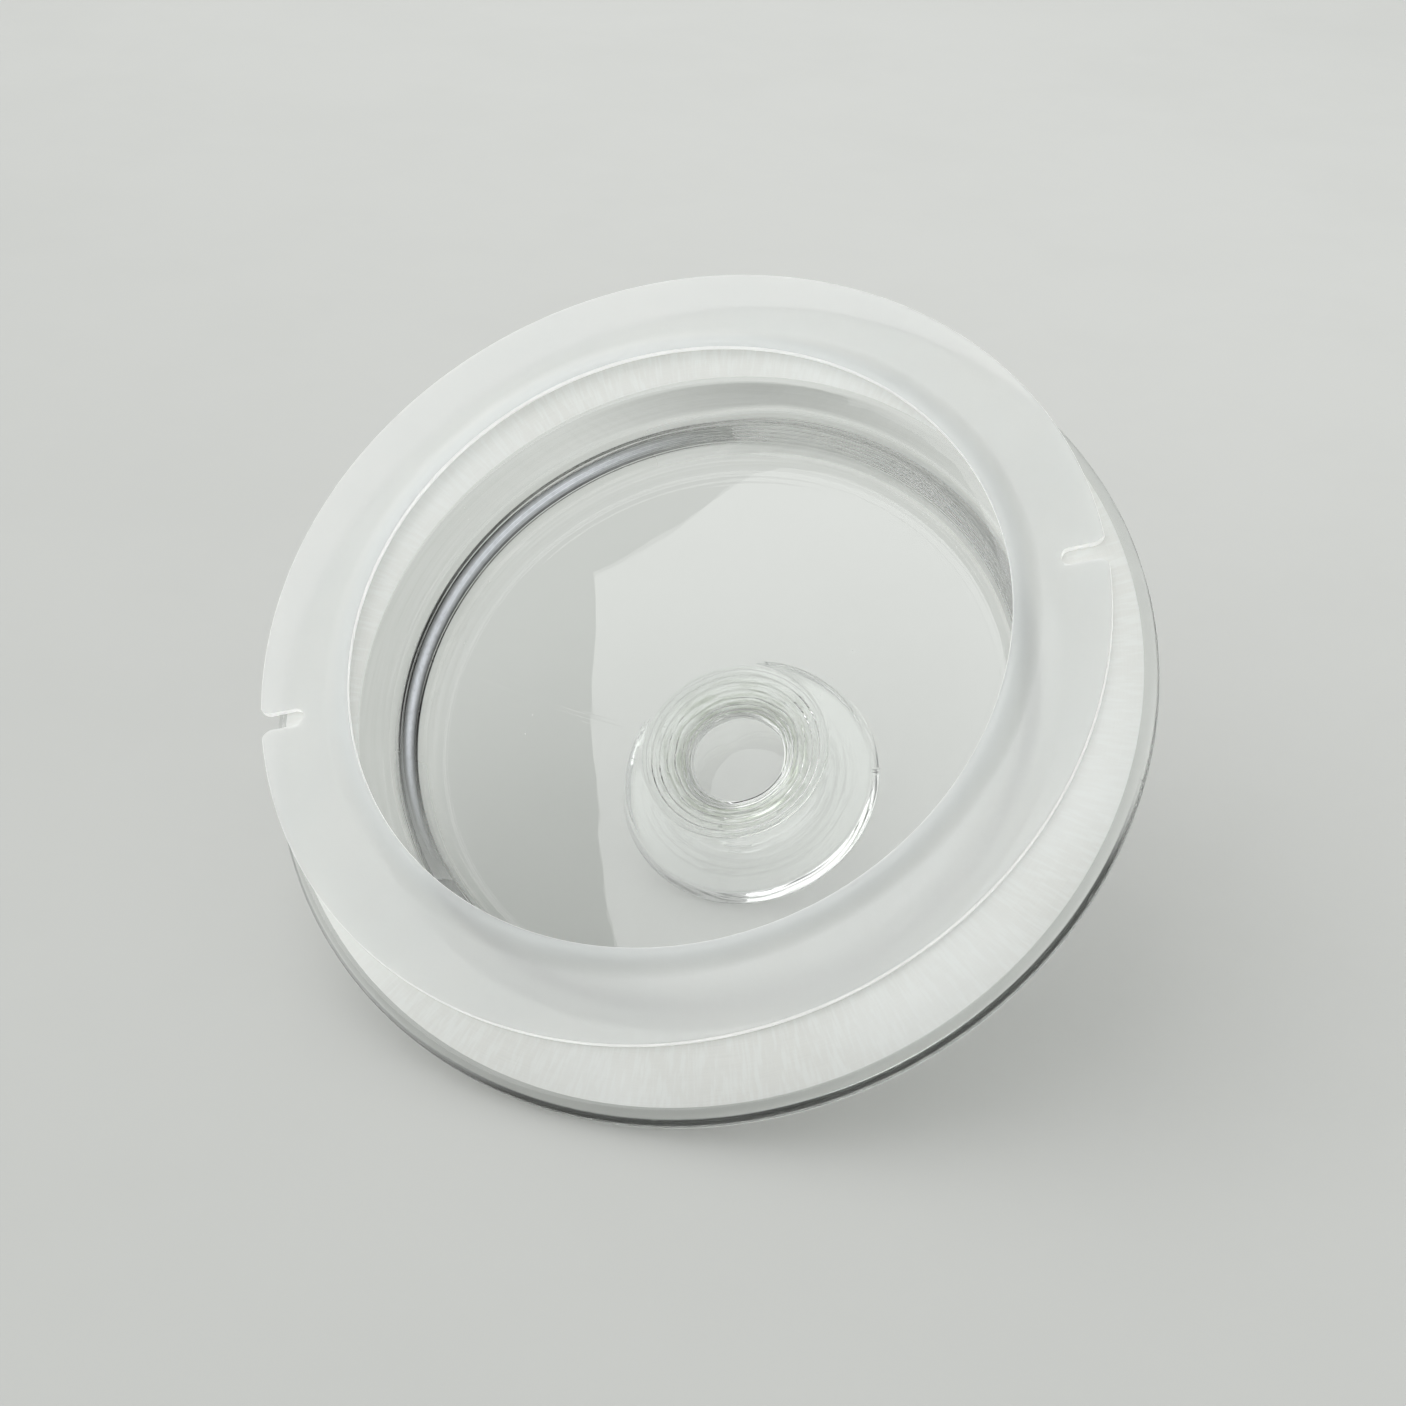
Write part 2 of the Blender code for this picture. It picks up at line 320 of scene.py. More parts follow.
def gasket_outline():
    """Closed section of the gasket, with its cut edges slightly rounded."""
    low, high = GASKET_GAP - GASKET_SIT, GASKET_GAP + GASKET_THICKNESS
    top = high + GASKET_LIP_RISE
    lip_low = top - GASKET_THICKNESS - GASKET_SIT
    edge, low_edge = GASKET_EDGE_RADIUS, GASKET_EDGE_RADIUS / 3
    bore = GASKET_BORE_RADIUS
    crest = bore + 2 * edge
    outer_top = arc((GASKET_RADIUS - edge, high - edge), edge, 90, 0, EDGE_STEPS)
    outer_low = arc((GASKET_RADIUS - low_edge, low + low_edge), low_edge, 0, -90, EDGE_STEPS)
    bore_low = arc((bore + edge, lip_low + edge), edge, 270, 180, EDGE_STEPS)
    bore_top = arc((bore + edge, top - edge), edge, 180, 90, EDGE_STEPS)
    over, under = [], []
    for i in range(1, CREST_STEPS):
        t = i / CREST_STEPS
        s = smooth_step(t)
        over.append((crest + (GASKET_WEB_RADIUS - crest) * t, top + (high - top) * s))
        under.append((GASKET_WEB_RADIUS + (crest - GASKET_WEB_RADIUS) * t, low + (lip_low - low) * s))
    flat = [(GASKET_WEB_RADIUS, high), (GASKET_RADIUS - 3 * edge, high)]
    flat_low = [(GASKET_RADIUS - 3 * edge, low), (GASKET_WEB_RADIUS, low)]
    return over + flat + outer_top + outer_low + flat_low + under + bore_low + bore_top


# ------------------------------------------------------------------ making pieces
def link(name, data):
    piece = bpy.data.objects.new(name, data)
    bpy.context.scene.collection.objects.link(piece)
    return piece


def applied(piece):
    """The piece's mesh with its modifiers in it, and the piece and its old mesh removed."""
    bpy.context.view_layer.update()
    evaluated = piece.evaluated_get(bpy.context.evaluated_depsgraph_get())
    mesh = bpy.data.meshes.new_from_object(evaluated)
    old = piece.data
    bpy.data.objects.remove(piece)
    if isinstance(old, bpy.types.Mesh):
        bpy.data.meshes.remove(old)
    return mesh


def turned(name, outline, closed):
    """An outline in the x-z half plane, turned about z."""
    mesh = bpy.data.meshes.new(name)
    count = len(outline)
    edges = [(i, i + 1) for i in range(count - 1)] + ([(count - 1, 0)] if closed else [])
    mesh.from_pydata([(x, 0.0, z) for x, z in outline], edges, [])
    piece = link(name, mesh)
    screw = piece.modifiers.new("turn", "SCREW")
    screw.steps = screw.render_steps = TURN_STEPS
    screw.use_merge_vertices = True
    screw.merge_threshold = MERGE
    screw.use_smooth_shade = True
    return piece


def set_in_place(name, mesh, placing):
    """A finished piece: clean mesh, smooth but for its sharp edges, with its place in the mesh."""
    work = bmesh.new()
    work.from_mesh(mesh)
    bmesh.ops.remove_doubles(work, verts=work.verts, dist=MERGE)
    bmesh.ops.dissolve_degenerate(work, edges=work.edges, dist=MERGE)
    bmesh.ops.recalc_face_normals(work, faces=work.faces)
    work.to_mesh(mesh)
    work.free()
    mesh.transform(placing)
    mesh.shade_smooth()
    mesh.set_sharp_from_angle(angle=math.radians(SHARP_DEGREES))
    mesh.name = name
    return link(name, mesh)


def steep_reach(angle, z):
    """How far the outside of the wall moves out at a place: fuller and steeper on one side."""
    side = smooth_step((angle - STEEP_WALL_START) / STEEP_WALL_BLEND)
    side *= smooth_step((STEEP_WALL_END - angle) / STEEP_WALL_BLEND)
    down = (-z - FLANGE_THICKNESS) / (HAUNCH_FOOT_DEPTH - FLANGE_THICKNESS)
    reach = STEEP_WALL_IN + (STEEP_WALL_OUT - STEEP_WALL_IN) * min(1.0, down)
    return reach * side * smooth_step((STEEP_WALL_FOOT + z) / STEEP_WALL_FOOT_BLEND)


def blow(mesh):
    """Give the turned lid the unevenness of blown glass: a wavy dome, a dented neck and a steeper wall."""
    for vertex in mesh.vertices:
        x, y, z = vertex.co
        radius = math.hypot(x, y)
        if radius < BELL_RADIUS and z > -DOME_WAVE_DEPTH:
            fade = smooth_step((BELL_RADIUS - radius) / DOME_WAVE_EDGE)
            fade *= smooth_step((radius - DOME_WAVE_EDGE) / DOME_WAVE_FADE)
            vertex.co.z += DOME_WAVE * fade * noise.noise(vertex.co / DOME_WAVE_LENGTH + DOME_WAVE_PLACE)
        if radius < NECK_FLARE_RADIUS and -KNOB_TOP_DEPTH < z < -NECK_DENT_DEPTH:
            vertex.co.x += NECK_DENT * noise.noise(vertex.co / NECK_DENT_SIZE)
            vertex.co.y += NECK_DENT * noise.noise(vertex.co / NECK_DENT_SIZE + NECK_DENT_PLACE)
        below_flange = STEEP_WALL_DEPTHS[0] < -z < STEEP_WALL_DEPTHS[1]
        if below_flange and STEEP_WALL_RADII[0] < radius < STEEP_WALL_RADII[1]:
            reach = steep_reach(math.degrees(math.atan2(y, x)) % 360, z)
            vertex.co.x += x / radius * reach
            vertex.co.y += y / radius * reach


def notch_cutter(angle):
    """A round-ended slot with a rounded mouth, extruded from a flat outline."""
    half = NOTCH_WIDTH / 2
    mouth = GASKET_RADIUS - NOTCH_MOUTH_ROUNDING
    beyond = GASKET_RADIUS + CUTTER_OVERRUN
    tip = arc((NOTCH_TIP_RADIUS + half, 0.0), half, 270, 90, NOTCH_TIP_STEPS)
    mouth_half = half + NOTCH_MOUTH_ROUNDING
    upper = arc((mouth, mouth_half), NOTCH_MOUTH_ROUNDING, -90, 0, NOTCH_MOUTH_STEPS)
    end = [(beyond, mouth_half), (beyond, -mouth_half)]
    outline = tip + upper + end + [(x, -y) for x, y in reversed(upper)]
    curve = bpy.data.curves.new("notch_outline", "CURVE")
    curve.dimensions = "2D"
    curve.fill_mode = "BOTH"
    curve.extrude = CUTTER_HALF_HEIGHT
    spline = curve.splines.new("POLY")
    spline.points.add(len(outline) - 1)
    for point, (x, y) in zip(spline.points, outline):
        point.co = (x, y, 0.0, 1.0)
    spline.use_cyclic_u = True
    return set_in_place("notch_cutter", applied(link("notch", curve)), Matrix.Rotation(angle, 4, "Z"))


# ------------------------------------------------------------------ shared effects
def effect(name, inputs, outputs):
    """An empty shader node group with named number, colour or vector sockets."""
    kinds = {"number": "NodeSocketFloat", "colour": "NodeSocketColor", "vector": "NodeSocketVector"}
    tree = bpy.data.node_groups.new(name, "ShaderNodeTree")
    for label, kind, default in inputs:
        socket = tree.interface.new_socket(name=label, in_out="INPUT", socket_type=kinds[kind])
        if default is not None:
            socket.default_value = default
    for label, kind in outputs:
        tree.interface.new_socket(name=label, in_out="OUTPUT", socket_type=kinds[kind])
    return tree, tree.nodes.new("NodeGroupInput").outputs, tree.nodes.new("NodeGroupOutput").inputs


def feed(tree, socket, value):
    """Set a socket to a number or colour, or link it to an output."""
    if isinstance(value, bpy.types.NodeSocket):
        tree.links.new(value, socket)
    else:
        socket.default_value = value


def maths(tree, operation, *values):
    node = tree.nodes.new("ShaderNodeMath")
    node.operation = operation
    for socket, value in zip(node.inputs, values):
        feed(tree, socket, value)
    return node.outputs[0]


def window(tree, value, low, high, to_low=0.0, to_high=1.0):
    """Smoothly map a value between two marks."""
    node = tree.nodes.new("ShaderNodeMapRange")
    node.interpolation_type = "SMOOTHSTEP"
    labels = ("Value", "From Min", "From Max", "To Min", "To Max")
    for label, given in zip(labels, (value, low, high, to_low, to_high)):
        feed(tree, node.inputs[label], given)
    return node.outputs["Result"]


def product(tree, *values):
    result = values[0]
    for value in values[1:]:
        result = maths(tree, "MULTIPLY", result, value)
    return result


def span(tree, value, start, end):
    """A mask over a stretch, where each end is a pair of the mark where it is 0 and where it is 1."""
    return product(tree, window(tree, value, *start), window(tree, value, *end))


def blended(tree, factor, first, second):
    node = tree.nodes.new("ShaderNodeMix")
    node.data_type = "RGBA"
    feed(tree, node.inputs["Factor"], factor)
    feed(tree, node.inputs["A"], first)
    feed(tree, node.inputs["B"], second)
    return node.outputs["Result"]


def cloud(tree, place, scale, detail=2.0, roughness=0.5):
    node = tree.nodes.new("ShaderNodeTexNoise")
    feed(tree, node.inputs["Vector"], place)
    feed(tree, node.inputs["Scale"], scale)
    feed(tree, node.inputs["Detail"], detail)
    feed(tree, node.inputs["Roughness"], roughness)
    return node.outputs["Fac"]


def lid_position():
    """Where a point lies on the lid: its place in the lid's axes, its radius, angle and height."""
    outputs = [("Place", "vector"), ("Radius", "number"), ("Angle", "number"), ("Height", "number")]
    tree, _, out = effect("lid_position", [], outputs)
    coordinate = tree.nodes.new("ShaderNodeTexCoord")
    mapping = tree.nodes.new("ShaderNodeMapping")
    mapping.vector_type = "TEXTURE"
    mapping.inputs["Location"].default_value = LID.translation
    mapping.inputs["Rotation"].default_value = LID.to_euler("XYZ")
    tree.links.new(coordinate.outputs["Object"], mapping.inputs["Vector"])
    split = tree.nodes.new("ShaderNodeSeparateXYZ")
    tree.links.new(mapping.outputs["Vector"], split.inputs["Vector"])
    x, y, z = split.outputs
    squares = maths(tree, "ADD", product(tree, x, x), product(tree, y, y))
    tree.links.new(mapping.outputs["Vector"], out["Place"])
    tree.links.new(maths(tree, "SQRT", squares), out["Radius"])
    tree.links.new(maths(tree, "ARCTAN2", y, x), out["Angle"])
    tree.links.new(z, out["Height"])
    return tree


def handling():
    """Marks of use: smudges, fine scratches and specks of dust."""
    inputs = [
        ("Place", "vector", None),
        ("Smudge Size", "number", 30.0),
        ("Scratch Size", "number", 400.0),
        ("Speck Size", "number", 260.0),
    ]
    outputs = [("Smudge", "number"), ("Scratch", "number"), ("Speck", "number")]
    tree, given, out = effect("handling_marks", inputs, outputs)
    smudge = window(tree, cloud(tree, given["Place"], given["Smudge Size"], 4.0, 0.6), 0.52, 0.72)
    stretch = tree.nodes.new("ShaderNodeMapping")
    stretch.inputs["Rotation"].default_value = (0.3, 0.2, 0.7)
    stretch.inputs["Scale"].default_value = (1.0, 0.06, 1.0)
    tree.links.new(given["Place"], stretch.inputs["Vector"])
    scratch = window(tree, cloud(tree, stretch.outputs["Vector"], given["Scratch Size"], 1.0), 0.71, 0.78)
    cells = tree.nodes.new("ShaderNodeTexVoronoi")
    tree.links.new(given["Place"], cells.inputs["Vector"])
    tree.links.new(given["Speck Size"], cells.inputs["Scale"])
    chosen = window(tree, cloud(tree, given["Place"], 35.0, 3.0), 0.50, 0.70)
    speck = product(tree, window(tree, cells.outputs["Distance"], 0.10, 0.04), chosen)
    for label, value in (("Smudge", smudge), ("Scratch", scratch), ("Speck", speck)):
        tree.links.new(value, out[label])
    return tree


def turning():
    """Fine rings about the lid's axis, broken up along the way round."""
    inputs = [
        ("Radius", "number", 0.0),
        ("Angle", "number", 0.0),
        ("Rings", "number", 4000.0),
        ("Breaks", "number", 6.0),
    ]
    tree, given, out = effect("turning_rings", inputs, [("Rings", "number")])
    joined = tree.nodes.new("ShaderNodeCombineXYZ")
    tree.links.new(product(tree, given["Radius"], given["Rings"]), joined.inputs["X"])
    for operation, socket in (("SINE", "Y"), ("COSINE", "Z")):
        round_way = maths(tree, operation, given["Angle"])
        tree.links.new(product(tree, round_way, given["Breaks"]), joined.inputs[socket])
    tree.links.new(cloud(tree, joined.outputs["Vector"], 1.0, 2.0), out["Rings"])
    return tree


def placed(tree, group, **values):
    node = tree.nodes.new("ShaderNodeGroup")
    node.node_tree = group
    for label, value in values.items():
        feed(tree, node.inputs[label.replace("_", " ")], value)
    return node.outputs


def raised(tree, shader, height, distance, strength=1.0):
    """Feed a height in parts of the given distance to the shader's normal."""
    bump = tree.nodes.new("ShaderNodeBump")
    bump.inputs["Strength"].default_value = strength
    bump.inputs["Distance"].default_value = distance
    tree.links.new(height, bump.inputs["Height"])
    tree.links.new(bump.outputs["Normal"], shader.inputs["Normal"])


def rings_on(tree, lid, crossing, rings, breaks):
    """Turning rings on the lid that lie across its radius or its height."""
    ways = {"Radius": lid[crossing], "Angle": lid["Angle"]}
    return placed(tree, TURNING, **ways, Rings=rings, Breaks=breaks)["Rings"]


LID_POSITION = lid_position()
HANDLING = handling()
TURNING = turning()


# ------------------------------------------------------------------ materials
def new_material(name, roughness, transmission, ior):
    material = bpy.data.materials.new(name)
    material.use_nodes = True
    tree = material.node_tree
    shader = tree.nodes["Principled BSDF"]
    shader.inputs["Roughness"].default_value = roughness
    shader.inputs["Transmission Weight"].default_value = transmission
    shader.inputs["IOR"].default_value = ior
    return material, tree, shader


def whole_turn(tree, degrees):
    """An angle as 0 to 360 degrees."""
    return maths(tree, "MODULO", maths(tree, "ADD", degrees, 360.0), 360.0)


def painted_rim_shade(tree, lid, degrees):
    """Mask of the painted shade: a dark band inside the edge of the flange, standing in for the dark seen
    through the rim.
    """
    band = span(tree, lid["Height"], RIM_SHADE_FOOT, RIM_SHADE_TOP)
    band = product(tree, band, window(tree, lid["Radius"], *RIM_SHADE_EDGE))
    return product(tree, band, span(tree, degrees, RIM_SHADE_START, RIM_SHADE_END))


def glass_tint(tree, lid, marks, degrees):
    """Faint green, greyer in the thick wall, olive in the neck, and near black where shade is painted in a
    band inside the rim.
    """
    rings = rings_on(tree, lid, "Radius", 1500.0, 2.0)
    streaks = rings_on(tree, lid, "Radius", 1100.0, 2.5)
    thick = span(tree, lid["Radius"], THICK_INSIDE, THICK_OUTSIDE)
    thick = product(tree, thick, window(tree, rings, 0.30, 0.62, 1.0, 0.45))
    neck = span(tree, lid["Height"], NECK_TINT_FOOT, NECK_TINT_ROOT)
    neck = product(tree, neck, window(tree, lid["Radius"], *NECK_TINT_EDGE))
    neck = product(tree, neck, window(tree, streaks, 0.32, 0.60, 1.0, 0.15))
    clouds = cloud(tree, lid["Place"], 14.0, 3.0)
    tint = blended(tree, clouds, (0.990, 0.998, 0.992, 1), (0.965, 0.985, 0.968, 1))
    tint = blended(tree, thick, tint, (0.875, 0.890, 0.868, 1))
    tint = blended(tree, neck, tint, (0.50, 0.55, 0.45, 1))
    # Painted shade: the band inside the rim is near black.
    tint = blended(tree, product(tree, painted_rim_shade(tree, lid, degrees), 0.985), tint, (0.004, 0.005, 0.004, 1))
    return blended(tree, product(tree, marks["Scratch"], 0.12), tint, (0.82, 0.84, 0.82, 1))


def glass_dullness(tree, lid, marks, degrees):
    """Roughness: next to none, but for dust, smudges and the satin outside of the steep wall."""
    dust = maths(tree, "ADD", product(tree, marks["Smudge"], 0.035), product(tree, marks["Speck"], 0.35))
    dust = maths(tree, "ADD", dust, product(tree, marks["Scratch"], 0.10))
    satin = span(tree, lid["Height"], SATIN_FOOT, SATIN_TOP)
    satin = product(tree, satin, span(tree, lid["Radius"], SATIN_INSIDE, SATIN_OUTSIDE))
    turned_off = maths(tree, "ABSOLUTE", maths(tree, "SUBTRACT", whole_turn(tree, degrees), SATIN_MIDDLE))
    satin = product(tree, satin, window(tree, turned_off, *SATIN_TURN, *SATIN_ROUGHNESS))
    return maths(tree, "ADD", dust, satin)


def glass_relief(tree, lid):
    """Height of a broad waviness, of patches of fine drawn lines and of the mould seam."""
    across = tree.nodes.new("ShaderNodeSeparateXYZ")
    tree.links.new(lid["Place"], across.inputs["Vector"])
    seam = window(tree, maths(tree, "ABSOLUTE", across.outputs["Y"]), *SEAM_HALF_WIDTH)
    seam = product(tree, seam, window(tree, lid["Radius"], *SEAM_INSIDE))
    drawn = tree.nodes.new("ShaderNodeMapping")
    drawn.inputs["Scale"].default_value = (0.25, 1.0, 1.0)
    tree.links.new(lid["Place"], drawn.inputs["Vector"])
    fine = cloud(tree, drawn.outputs["Vector"], 420.0, 3.0)
    patch = window(tree, cloud(tree, lid["Place"], 24.0, 2.0), 0.60, 0.70)
    height = product(tree, cloud(tree, lid["Place"], 55.0, 1.0), 0.55)
    height = maths(tree, "ADD", height, product(tree, fine, patch, 0.012))
    return maths(tree, "ADD", height, product(tree, seam, 0.35))


def clear_glass():
    """Clear moulded glass, with shade painted as a dark band inside the rim, dust, fine scratches and a mould
    seam.
    """
    material, tree, shader = new_material("clear_glass", 0.0, 1.0, 1.50)
    lid = placed(tree, LID_POSITION)
    marks = placed(tree, HANDLING, Place=lid["Place"])
    degrees = maths(tree, "DEGREES", lid["Angle"])
    tree.links.new(glass_tint(tree, lid, marks, degrees), shader.inputs["Base Color"])
    tree.links.new(glass_dullness(tree, lid, marks, degrees), shader.inputs["Roughness"])
    raised(tree, shader, glass_relief(tree, lid), 0.00012)
    return material


def painted_highlight_band():
    """A painted highlight band on the outside of the bell's steep wall: a glowing bluish white core between
    edges of painted dark shade, fading to pale glass at its ends.
    """
    material, tree, shader = new_material("painted_highlight_band", 0.4, 0.55, 1.50)
    lid = placed(tree, LID_POSITION)
    degrees = whole_turn(tree, maths(tree, "DEGREES", lid["Angle"]))
    belt = span(tree, lid["Height"], (-BELT_LOW, -BELT_MIDDLE), (-BELT_HIGH, -BELT_MIDDLE))
    ends = span(tree, degrees, HIGHLIGHT_START, HIGHLIGHT_END)
    speckle = cloud(tree, lid["Place"], 700.0, 3.0, 0.6)
    glow = product(tree, belt, ends, window(tree, speckle, 0.25, 0.6, 0.8, 1.0))
    # Painted shade and highlight: dark at the band's edges and bluish white in its core.
    colour = blended(tree, glow, (0.10, 0.105, 0.11, 1), (0.97, 0.98, 1.0, 1))
    tree.links.new(blended(tree, ends, (0.88, 0.90, 0.88, 1), colour), shader.inputs["Base Color"])
    # The core glows with painted light.
    lit = blended(tree, glow, (0.0, 0.0, 0.0, 1), (0.36, 0.38, 0.42, 1))
    tree.links.new(lit, shader.inputs["Emission Color"])
    shader.inputs["Emission Strength"].default_value = 1.0
    tree.links.new(window(tree, speckle, 0.3, 0.7, 0.34, 0.48), shader.inputs["Roughness"])
    raised(tree, shader, speckle, 0.00003)
    return material


def ground_glass():
    """The ground face: matt and pale, with fine grinding rings, short streaks, grit and one duller patch."""
    material, tree, shader = new_material("ground_glass", 0.5, 0.50, 1.50)
    lid = placed(tree, LID_POSITION)
    marks = placed(tree, HANDLING, Place=lid["Place"], Smudge_Size=18.0, Speck_Size=420.0)
    rings = rings_on(tree, lid, "Radius", 2600.0, 9.0)
    brushed = rings_on(tree, lid, "Radius", 140.0, 95.0)
    grit = cloud(tree, lid["Place"], 2600.0, 2.0, 0.7)
    patch = span(tree, maths(tree, "DEGREES", lid["Angle"]), DULL_START, DULL_END)
    patch = product(tree, patch, window(tree, lid["Radius"], *DULL_INSIDE))
    worn = window(tree, cloud(tree, lid["Place"], 16.0, 3.0), 0.38, 0.66, 0.0, 0.45)
    colour = blended(tree, rings, (0.66, 0.668, 0.640, 1), (0.75, 0.755, 0.726, 1))
    colour = blended(tree, window(tree, brushed, 0.42, 0.66, 0.0, 0.55), colour, (0.79, 0.82, 0.80, 1))
    colour = blended(tree, worn, colour, (0.82, 0.845, 0.84, 1))
    colour = blended(tree, product(tree, grit, 0.25), colour, (0.86, 0.87, 0.85, 1))
    colour = blended(tree, product(tree, marks["Smudge"], 0.15), colour, (0.88, 0.89, 0.86, 1))
    colour = blended(tree, product(tree, patch, 0.45), colour, (0.80, 0.82, 0.79, 1))
    tree.links.new(colour, shader.inputs["Base Color"])
    rough = window(tree, rings, 0.3, 0.7, 0.42, 0.56)
    rough = maths(tree, "ADD", rough, product(tree, marks["Smudge"], -0.08))
    tree.links.new(rough, shader.inputs["Roughness"])
    height = maths(tree, "ADD", product(tree, grit, 0.5), maths(tree, "ADD", rings, brushed))
    raised(tree, shader, height, 0.00004)
    return material


def milky_rubber():
    """Soft milky silicone: cloudy, with a finely grained satin skin, specks of dust, and painted shade making
    the lip darker and bluer.
    """
    material, tree, shader = new_material("milky_rubber", 0.36, 0.76, 1.41)
    lid = placed(tree, LID_POSITION)
    marks = placed(tree, HANDLING, Place=lid["Place"], Smudge_Size=24.0, Speck_Size=330.0)
    clouds = cloud(tree, lid["Place"], 30.0, 3.0, 0.6)
    web_top = GASKET_GAP + GASKET_THICKNESS
    # Painted shade: the steep lip is tinted darker and bluer all round.
    lip = window(tree, lid["Height"], web_top + 0.0003, web_top + GASKET_LIP_RISE)
    colour = blended(tree, clouds, (0.792, 0.812, 0.806, 1), (0.862, 0.867, 0.850, 1))
    colour = blended(tree, product(tree, lip, 0.55), colour, (0.760, 0.790, 0.802, 1))
    colour = blended(tree, product(tree, marks["Speck"], 0.25), colour, (0.80, 0.80, 0.77, 1))
    tree.links.new(colour, shader.inputs["Base Color"])
    rough = window(tree, clouds, 0.35, 0.65, 0.28, 0.42)
    rough = maths(tree, "ADD", rough, product(tree, marks["Smudge"], 0.08))
    tree.links.new(rough, shader.inputs["Roughness"])
    skin = cloud(tree, lid["Place"], 900.0, 3.0, 0.6)
    height = maths(tree, "ADD", product(tree, skin, 0.15), cloud(tree, lid["Place"], 60.0, 1.0))
    raised(tree, shader, height, 0.00012)
    return material


def cut_rubber():
    """The gasket's cut edges: finely scored, with painted light in a paler colour and a glow that stand in
    for the light the ring gathers.
    """
    material, tree, shader = new_material("cut_rubber", 0.35, 0.45, 1.41)
    shader.inputs["Emission Strength"].default_value = 1.0
    lid = placed(tree, LID_POSITION)
    score = rings_on(tree, lid, "Height", 3000.0, 160.0)
    # Painted light: the cut edges are paler than the ring.
    pale = blended(tree, score, (0.90, 0.91, 0.90, 1), (1.0, 1.0, 0.99, 1))
    tree.links.new(pale, shader.inputs["Base Color"])
    tree.links.new(window(tree, score, 0.3, 0.7, 0.48, 0.62), shader.inputs["Roughness"])
    # Painted light: the cut edges glow.
    lit = blended(tree, score, (0.22, 0.22, 0.22, 1), (0.34, 0.34, 0.33, 1))
    tree.links.new(lit, shader.inputs["Emission Color"])
    raised(tree, shader, score, 0.00003)
    return material


def pale_bench():
    """A plain pale bench top with a faint mottle, and painted light making it paler towards its back."""
    material, tree, shader = new_material("pale_bench", 0.65, 0.0, 1.45)
    shader.inputs["Specular IOR Level"].default_value = 0.25
    coordinate = tree.nodes.new("ShaderNodeTexCoord")
    mapping = tree.nodes.new("ShaderNodeMapping")
    mapping.inputs["Rotation"].default_value = (0.0, 0.0, math.radians(36.0))
    tree.links.new(coordinate.outputs["Object"], mapping.inputs["Vector"])
    split = tree.nodes.new("ShaderNodeSeparateXYZ")
    tree.links.new(mapping.outputs["Vector"], split.inputs["Vector"])
    # Painted light: paler towards the back, standing in for light falling off towards the front.
    back = window(tree, split.outputs["Y"], -0.35, 0.65)
    pale = blended(tree, back, (0.405, 0.412, 0.398, 1), (0.530, 0.538, 0.522, 1))
    mottle = cloud(tree, coordinate.outputs["Object"], 9.0, 4.0, 0.6)
    pale = blended(tree, window(tree, mottle, 0.35, 0.75, 0.0, 0.10), pale, (0.375, 0.382, 0.368, 1))
    tree.links.new(pale, shader.inputs["Base Color"])
    tree.links.new(window(tree, mottle, 0.3, 0.7, 0.6, 0.7), shader.inputs["Roughness"])
    raised(tree, shader, cloud(tree, coordinate.outputs["Object"], 500.0, 2.0), 0.00002)
    return material


# ------------------------------------------------------------------ the two pieces
# Material slots; the third on the lid is the painted highlight band.
CLEAR, GROUND, HIGHLIGHT_BAND = range(3)
MILKY, CUT = range(2)
CUT_SLOPE = 0.75


def glass_lid():
    piece = turned("glass_lid", lid_outline(), closed=False)
    mesh = applied(piece)
    blow(mesh)
    for material in (clear_glass(), ground_glass(), painted_highlight_band()):
        mesh.materials.append(material)
    ground_outer = FLANGE_RADIUS - FLANGE_EDGE_RADIUS + math.sqrt(
        FLANGE_EDGE_RADIUS**2 - (FLANGE_EDGE_RADIUS - FLANGE_THICKNESS) ** 2
    )
    for face in mesh.polygons:
        radius = face.center.xy.length
        height = face.center.z
        angle = math.degrees(math.atan2(face.center.y, face.center.x)) % 360
        # Faces in the belt take the painted highlight band.
        in_belt = radius > BELT_INNER_RADIUS and BELT_HIGH < -height < BELT_LOW
        if height > -GROUND_EDGE_DEPTH and GROUND_INNER_RADIUS - GROUND_EDGE_WIDTH < radius < ground_outer:
            face.material_index = GROUND
        elif in_belt and BELT_DEGREES[0] < angle < BELT_DEGREES[1]:
            face.material_index = HIGHLIGHT_BAND
        else:
            face.material_index = CLEAR
    lid = set_in_place("glass_lid", mesh, LID)
    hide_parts("lid_bell", "knob")
    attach(lid, "lid")
    return lid


def gasket():
    piece = turned("gasket_turned", gasket_outline(), closed=True)
    cutters = [notch_cutter(NOTCH_ANGLE - GASKET_OVAL_TURN + i * math.pi) for i in range(2)]
    for cutter in cutters:
        cut = piece.modifiers.new("notch", "BOOLEAN")
        cut.operation = "DIFFERENCE"
        cut.solver = "EXACT"
        cut.object = cutter
    mesh = applied(piece)
    for cutter in cutters:
        bpy.data.objects.remove(cutter)
    mesh.materials.clear()
    for material in (milky_rubber(), cut_rubber()):
        mesh.materials.append(material)
    for face in mesh.polygons:
        face.material_index = CUT if abs(face.normal.z) < CUT_SLOPE else MILKY
    oval = Matrix.Diagonal((1.0, GASKET_OVAL, 1.0, 1.0))
    shift = Matrix.Translation((*GASKET_SHIFT, 0.0))
    place = LID @ shift @ Matrix.Rotation(GASKET_OVAL_TURN, 4, "Z") @ oval
    ring = set_in_place("milky_gasket", mesh, place)
    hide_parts("gasket")
    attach(ring, "gasket")
    return ring


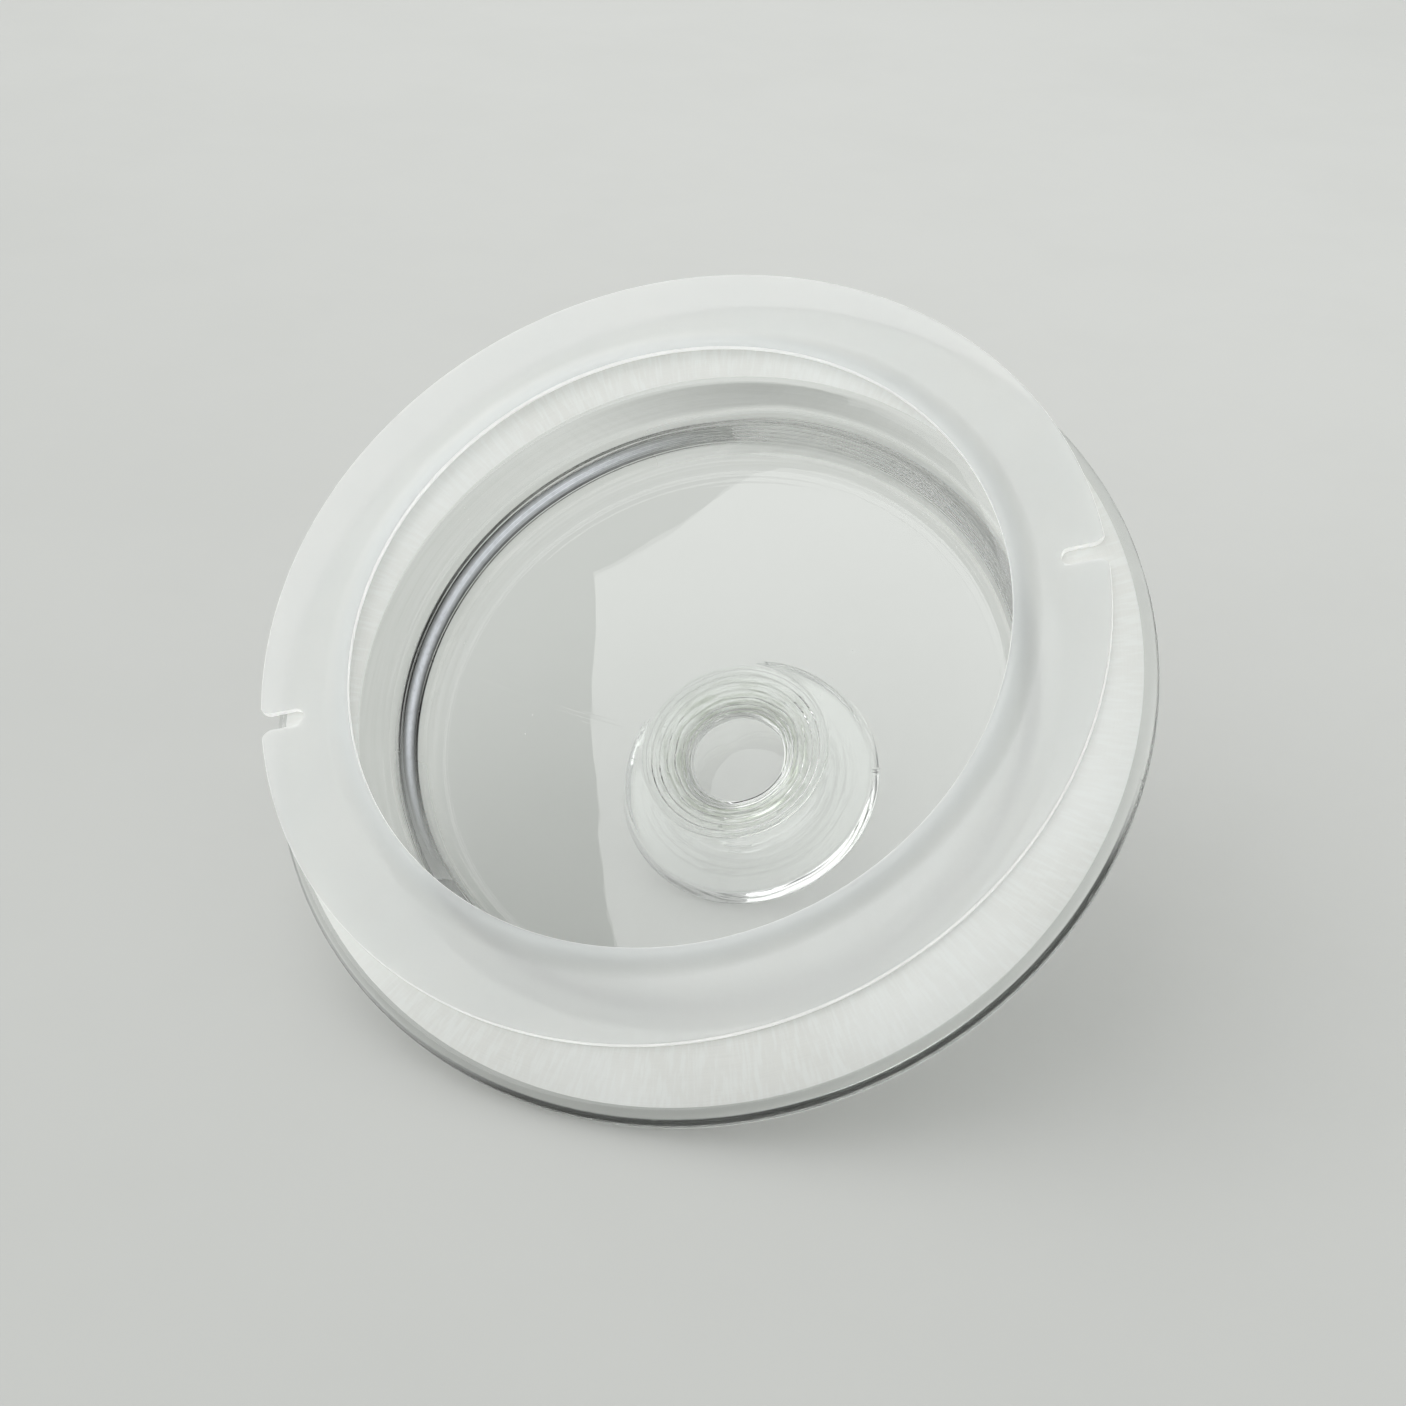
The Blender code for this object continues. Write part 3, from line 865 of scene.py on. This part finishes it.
# ------------------------------------------------------------------ floor, light and camera
FLOOR_HALF = 8.0
CAMERA_AZIMUTH = math.radians(20.93)
CAMERA_ELEVATION = math.radians(29.62)
CAMERA_DISTANCE = 0.800
CAMERA_AIM_DROP = 0.0042
CAMERA_LENS = 78.54
CAMERA_SENSOR = 36.0
SOFTBOX_START = (1.75, -3.55)
SOFTBOX_END = (-3.10, 6.40)
SOFTBOX_HEIGHT = 3.90
SOFTBOX_WIDTH = 6.3
SOFTBOX_TILT = math.radians(32)
SOFTBOX_RADIANCE = 1.26
SHEEN_HEIGHT = 3.91
SHEEN_RADIANCE = 0.32
FILL_HEIGHT = 3.0
FILL_SIZE = 1.5
FILL_STRENGTH = 0.40
ROOM_STRENGTH = 0.415


def camera():
    data = bpy.data.cameras.new("camera")
    data.lens, data.sensor_width = CAMERA_LENS, CAMERA_SENSOR
    data.clip_start, data.clip_end = 0.01, 50
    camera = link("camera", data)
    back = Vector((
        math.sin(CAMERA_AZIMUTH) * math.cos(CAMERA_ELEVATION),
        -math.cos(CAMERA_AZIMUTH) * math.cos(CAMERA_ELEVATION),
        math.sin(CAMERA_ELEVATION),
    ))
    turn = (-back).to_track_quat("-Z", "Y")
    down = turn @ Vector((0, -1, 0))
    aim = LID.translation + down * CAMERA_AIM_DROP
    camera.location = aim + back * CAMERA_DISTANCE
    camera.rotation_mode = "QUATERNION"
    camera.rotation_quaternion = turn
    bpy.context.scene.camera = camera


def floor():
    mesh = bpy.data.meshes.new("floor")
    work = bmesh.new()
    bmesh.ops.create_grid(work, x_segments=1, y_segments=1, size=FLOOR_HALF)
    work.to_mesh(mesh)
    work.free()
    plane = link("floor", mesh)
    mesh.materials.append(pale_bench())


def panel(name, height, radiance, sheen_only):
    """A rectangular soft light, with its near edge level and the rest sloping down to the left of it."""
    start, end = Vector((*SOFTBOX_START, height)), Vector((*SOFTBOX_END, height))
    along = (end - start).normalized()
    side = Vector((-along.y, along.x, 0)).normalized()
    across = (side * math.cos(SOFTBOX_TILT) - Vector((0, 0, 1)) * math.sin(SOFTBOX_TILT)).normalized()
    centre = (start + end) / 2 + across * SOFTBOX_WIDTH / 2
    normal = along.cross(across)
    if normal.dot(-centre) < 0:
        normal = -normal
    data = bpy.data.lights.new(name, "AREA")
    data.shape = "RECTANGLE"
    data.size, data.size_y = (end - start).length, SOFTBOX_WIDTH
    data.energy = radiance * math.pi * data.size * data.size_y
    light = link(name, data)
    up = (-normal).cross(along)
    light.matrix_world = Matrix.Translation(centre) @ Matrix((along, up, -normal)).transposed().to_4x4()
    light.visible_diffuse = not sheen_only


def fill():
    """A weak overhead fill that throws no shadow and shows in no reflection."""
    data = bpy.data.lights.new("overhead_fill", "AREA")
    data.shape, data.size = "DISK", FILL_SIZE
    data.energy = FILL_STRENGTH * math.pi**2 * FILL_HEIGHT**2
    data.use_shadow = False
    light = link("overhead_fill", data)
    light.location = (0.0, 0.0, FILL_HEIGHT)
    light.visible_camera = light.visible_glossy = light.visible_transmission = False


def studio():
    fill()
    panel("left_softbox", SOFTBOX_HEIGHT, SOFTBOX_RADIANCE, sheen_only=False)
    panel("left_sheen", SHEEN_HEIGHT, SHEEN_RADIANCE, sheen_only=True)
    world = bpy.data.worlds.new("studio")
    world.use_nodes = True
    back = world.node_tree.nodes["Background"]
    back.inputs["Color"].default_value = (0.985, 1.0, 0.985, 1)
    back.inputs["Strength"].default_value = ROOM_STRENGTH
    bpy.context.scene.world = world
    bpy.context.scene.view_settings.view_transform = "Standard"


glass_lid()
gasket()
floor()
studio()
camera()
